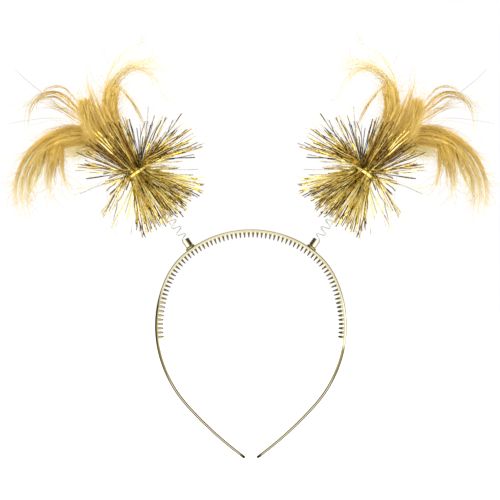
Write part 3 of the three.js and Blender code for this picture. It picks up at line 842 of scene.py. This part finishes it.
# spine of a lock, run on a little past its tip: heading = foot + curl * bent ** ease, place = running sum
def lockSpine(lock, foot, footHeading):
    run = np.linspace(0, barbSpec["overrun"], barbSpec["slices"])
    bent = np.maximum((run - lock["straight"]) / (1 - lock["straight"]), 0) ** lock["ease"]
    heading = np.radians(footHeading + lock["curl"] * bent)
    middle = (heading[1:] + heading[:-1]) / 2
    step = lock["length"] * (run[1] - run[0])
    across = foot[0] + runningSum(step * np.sin(middle))
    height = foot[1] + runningSum(step * np.cos(middle))
    return run, across, height, heading


# place and heading of a spine at shares of the lock's length, by straight lines
def spineAt(spine, place):
    return [np.interp(place, spine[0], row) for row in spine[1:]]


# width of a lock = eased from root to full at fullAt, and on to tip
def lockWidth(lock, place):
    root, full, tip = lock["widths"]
    width = root + (full - root) * smoothStep(0, lock["fullAt"], place)
    return width + (tip - full) * smoothStep(lock["fullAt"], 1, place)


# each clump has its place in the lock's section, its own end, tone, wave and the way it frays outwards
def clumpRows(lock, random):
    count = lock["clumps"]
    angle = random.uniform(0, 2 * np.pi, count)
    radius = np.sqrt(random.uniform(0, 1, count)) * barbSpec["clumpReach"]
    shortest, longest, bias = lock["ends"]
    return {
        "place": np.stack([radius * np.cos(angle), radius * np.sin(angle)], axis=-1),
        "end": shortest + (longest - shortest) * random.uniform(0, 1, count) ** bias,
        "tone": random.beta(*barbSpec["toneShape"], count),
        "fray": random.normal(0, lock["fray"], (count, 2)),
        "phase": random.uniform(0, 2 * np.pi, (count, 2)),
    }


# a barb's place in the section = its clump's place + its own place in the clump, drawn in towards the
# tip, + the clump's fraying with a power of the way along + waves; a few barbs stray further
def lockSurface(lock, plume, spine, startDepth, random):
    spec = barbSpec
    count = lock["strands"]
    rows = clumpRows(lock, random)
    clump = random.integers(0, lock["clumps"], count)
    share = np.linspace(0, 1, spec["stations"])[None, :]
    begin = random.uniform(0, lock["beginBy"], (count, 1)) ** spec["beginPower"]
    end = rows["end"][clump] + random.normal(0, lock["ragged"], count)
    end = np.clip(end, spec["endLeast"], spec["overrun"])[:, None]
    begin = np.minimum(begin, end - spec["shortest"])
    place = begin + (end - begin) * share
    reach = place / end
    width = lockWidth(lock, place)
    angle = random.uniform(0, 2 * np.pi, (count, 1))
    radius = np.sqrt(random.uniform(0, 1, (count, 1))) * spec["clumpSize"]
    gather = radius * (1 - lock["pinch"] * smoothStep(spec["gatherFrom"], 1, reach))
    own = np.stack([gather * np.cos(angle), gather * np.sin(angle)], axis=-1)
    section = (rows["place"][clump][:, None, :] + own) * width[:, :, None] / 2
    section = section + rows["fray"][clump][:, None, :] * reach[:, :, None] ** spec["frayPower"]
    wave = lock["wave"] * reach[:, :, None]
    clumpPhase = rows["phase"][clump][:, None, :] + spec["clumpPace"] * place[:, :, None]
    section = section + wave * np.sin(clumpPhase)
    phase = random.uniform(0, 2 * np.pi, (count, 1, 2))
    pace = random.uniform(*spec["crimpPace"], (count, 1, 2))
    section = section + spec["crimp"] * wave * np.sin(phase + pace * share[:, :, None])
    strays = (random.random(count) < lock["strayShare"])[:, None, None]
    section = section + strays * random.normal(0, spec["stray"], (count, 1, 2)) * share[:, :, None] ** 2
    spineX, spineZ, heading = spineAt(spine, place)
    depth = startDepth + place * lock["length"] * leanSlope(plume)
    depth = depth - lock["front"] * smoothStep(0, spec["frontBy"], place)
    path = np.stack([
        spineX + section[:, :, 0] * np.cos(heading),
        depth + section[:, :, 1] * plume["flat"],
        spineZ - section[:, :, 0] * np.sin(heading),
    ], axis=-1)
    droop = random.uniform(0, spec["droop"], (count, 1)) * share ** 3
    path = path + droop[:, :, None] * localDown
    radii = spec["radius"] * lock["thick"] * random.uniform(*spec["radiusSpan"], (count, 1))
    radii = radii * np.maximum(1 - (1 - lock["blunt"]) * share ** 3, spec["tipRadius"])
    rings = roundStrands(path, radii, spec["sides"], bopperY)
    tone = rows["tone"][clump] + random.normal(lock["tone"], spec["toneSpread"], count)
    tone = np.clip(tone, 0, 1)[:, None, None]
    branchRoot, branchRun = spec["branchAlong"]
    along = place * lock["fade"] if lock["leaves"] < 1 else branchRoot + branchRun * place
    along = along[:, :, None] + lock["pale"]
    shaft = lock["shaft"] * smoothStep(*spec["bareFrom"], place)[:, :, None]
    return Surface(standOn(burstMiddle, rings), tone=tone, along=along, shaft=shaft)


# fuzz: short fine hairs that leave the outside of a lock; heading = the lock's own there + a turn that
# grows by a bend along the hair, place = running sum
def fuzzSurface(lock, plume, spine, startDepth, random):
    spec = fuzzSpec
    count = lock["fuzz"]
    share = np.linspace(0, 1, spec["stations"])[None, :]
    place = random.uniform(*spec["placeSpan"], (count, 1))
    angle = random.uniform(0, 2 * np.pi, (count, 1))
    rim = lockWidth(lock, place) / 2 * spec["rim"]
    side = np.cos(angle) * rim
    spineX, spineZ, heading = spineAt(spine, place)
    footX = spineX + side * np.cos(heading)
    footZ = spineZ - side * np.sin(heading)
    footY = startDepth + place * lock["length"] * leanSlope(plume)
    footY = footY + np.sin(angle) * rim * plume["flat"]
    turn = np.abs(random.normal(0, spec["turn"], (count, 1))) * np.sign(side)
    bend = random.normal(0, spec["bend"], (count, 1))
    way = heading + np.radians(turn + bend * share)
    tilt = np.sin(angle) * random.uniform(0, spec["tilt"], (count, 1))
    step = random.uniform(*spec["length"], (count, 1)) / (spec["stations"] - 1)
    path = np.stack([
        footX + np.cumsum(np.sin(way) * step, axis=1),
        footY + np.cumsum(tilt * step * np.ones_like(share), axis=1),
        footZ + np.cumsum(np.cos(way) * step, axis=1),
    ], axis=-1)
    radii = spec["radius"] * np.maximum(1 - share ** 2, spec["tipRadius"]) * np.ones((count, 1))
    rings = roundStrands(path, radii, barbSpec["sides"], bopperY)
    tone = random.uniform(0, 1, (count, 1, 1))
    alongRoot, alongRun = spec["along"]
    along = (alongRoot + alongRun * place * share)[:, :, None]
    return Surface(standOn(burstMiddle, rings), tone=tone, along=along, shaft=0.0)


# foot of a branch = the main spine at its distance, drawn back by its rise; the main lock comes first
def plumeSurfaces(plume, random):
    main, *branches = [{**lockSpec, **lock} for lock in plume["locks"]]
    hairs = [{**lockSpec, **hairSpec, **hair} for hair in plume["hairs"]]
    foot = (plume["offset"], barbSpec["coreTop"])
    mainSpine = lockSpine(main, foot, main["heading"])
    surfaces = [lockSurface(main, plume, mainSpine, 0, random)]
    surfaces.append(fuzzSurface(main, plume, mainSpine, 0, random))
    for lock in branches + hairs:
        startX, startZ, heading = spineAt(mainSpine, lock["leaves"] / main["length"])
        heading = heading + math.radians(lock["heading"])
        rise = lock["rise"]
        foot = (startX - rise * math.sin(heading), startZ - rise * math.cos(heading))
        lock = {**lock, "length": lock["length"] + rise}
        spine = lockSpine(lock, foot, math.degrees(heading))
        depth = lock["leaves"] * leanSlope(plume)
        surfaces.append(lockSurface(lock, plume, spine, depth, random))
        if lock["fuzz"]:
            surfaces.append(fuzzSurface(lock, plume, spine, depth, random))
    return surfaces


for node, plume in plumeLocks.items():
    random = np.random.default_rng(plume["seed"])
    bothSides(plume["name"], plumeSurfaces(plume, random), node, "feather")


# studio: a pale floor well below, soft lights, and a world that is white where the camera looks
studioSpec = {
    "floorBelow": 0.12, "floorSize": 14.0, "floorNear": rgb(0.5, 0.5, 0.49),
    "floorFar": rgb(0.95, 0.95, 0.94), "white": rgb(1, 1, 1), "black": rgb(0, 0, 0),
    "farSpan": (0.35, 1.0), "roughness": 0.9, "gloss": 0.1, "glow": 0.9,
}


def paleFloor(book):
    spec = studioSpec
    away = book.node("ShaderNodeVectorMath", {"operation": "LENGTH"}, {0: book.objectPlace()}, "Value")
    far = book.spread(away, *spec["farSpan"])
    return {
        "Base Color": book.mixed(far, spec["floorNear"], spec["floorFar"]),
        "Roughness": spec["roughness"],
        "Specular IOR Level": spec["gloss"],
        "Emission Color": book.mixed(far, spec["black"], spec["white"]),
        "Emission Strength": spec["glow"],
    }


def addFloor():
    half = studioSpec["floorSize"] / 2
    level = cadLow.z - studioSpec["floorBelow"]
    corners = [(x * half, y * half, level) for x, y in ((-1, -1), (1, -1), (1, 1), (-1, 1))]
    mesh = bpy.data.meshes.new("floor")
    mesh.from_pydata(corners, [], [(0, 1, 2, 3)])
    mesh.materials.append(newMaterial(paleFloor))
    floor = addObject("floor", mesh)
    floor.visible_glossy = False


# world: the camera sees white and dull surfaces an even dim light; bright metal shows pale panels in
# front, behind, overhead and below, with dark sides. In the direction (x, y, z) the front panel starts
# where -y - lift * z passes its span, and the others where y, z and -z do
worldSpec = {
    "dim": rgb(0.36, 0.36, 0.36), "side": 0.18, "front": 1.8, "back": 2.0, "lift": 0.45,
    "frontSpan": (0.52, 0.74), "backSpan": (0.25, 0.88), "low": 1.0, "lowSpan": (0.35, 0.7),
    "high": 1.0, "highSpan": (0.7, 0.9),
}


def addWorld():
    spec = worldSpec
    world = bpy.data.worlds.new("studio")
    world.use_nodes = True
    book = NodeBook(world.node_tree)
    place = book.node("ShaderNodeTexCoord", output="Generated")
    back = book.node("ShaderNodeSeparateXYZ", None, {0: place}, "Y")
    height = book.node("ShaderNodeSeparateXYZ", None, {0: place}, "Z")
    frontPanel = book.spread(0 - back - height * spec["lift"], *spec["frontSpan"])
    backPanel = book.spread(back, *spec["backSpan"])
    lowPanel = book.spread(0 - height, *spec["lowSpan"])
    highPanel = book.spread(height, *spec["highSpan"])
    panels = frontPanel * spec["front"] + backPanel * spec["back"] + spec["side"]
    panels = panels + lowPanel * spec["low"] + highPanel * spec["high"]
    mirrored = book.node("ShaderNodeLightPath", output="Is Glossy Ray")
    seen = book.node("ShaderNodeLightPath", output="Is Camera Ray")
    shown = book.mixed(seen, book.mixed(mirrored, spec["dim"], panels), studioSpec["white"])
    glow = book.node("ShaderNodeBackground", None, {"Color": shown})
    book.node("ShaderNodeOutputWorld", None, {"Surface": glow})
    bpy.context.scene.world = world


# soft lights all round, as name, place, size and watts, turned to a point a little above the middle
lightAim = np.array([0, 0, 0.02])
lightRows = [
    ("keyLeft", (-0.7, -1.0, 0.5), 0.5, 9),
    ("keyRight", (0.7, -1.0, 0.5), 0.5, 9),
    ("overhead", (0, -0.1, 1.2), 0.8, 10),
    ("behindLeft", (-1.0, 0.8, 0.5), 0.5, 8),
    ("behindRight", (1.0, 0.8, 0.5), 0.5, 8),
]


def addLights():
    for name, place, size, watts in lightRows:
        light = bpy.data.lights.new(name, "AREA")
        light.size = size
        light.energy = watts
        lamp = addObject(name, light)
        lamp.location = place
        lamp.visible_glossy = False  # bright metal shows the world alone
        aim = lightAim - np.array(place)
        flat = math.hypot(aim[0], aim[1])
        lamp.rotation_euler = (math.atan2(flat, -aim[2]), 0, math.atan2(-aim[0], aim[1]))


addFloor()
addWorld()
addLights()
bpy.context.scene.view_settings.view_transform = "Standard"
print("studio made")
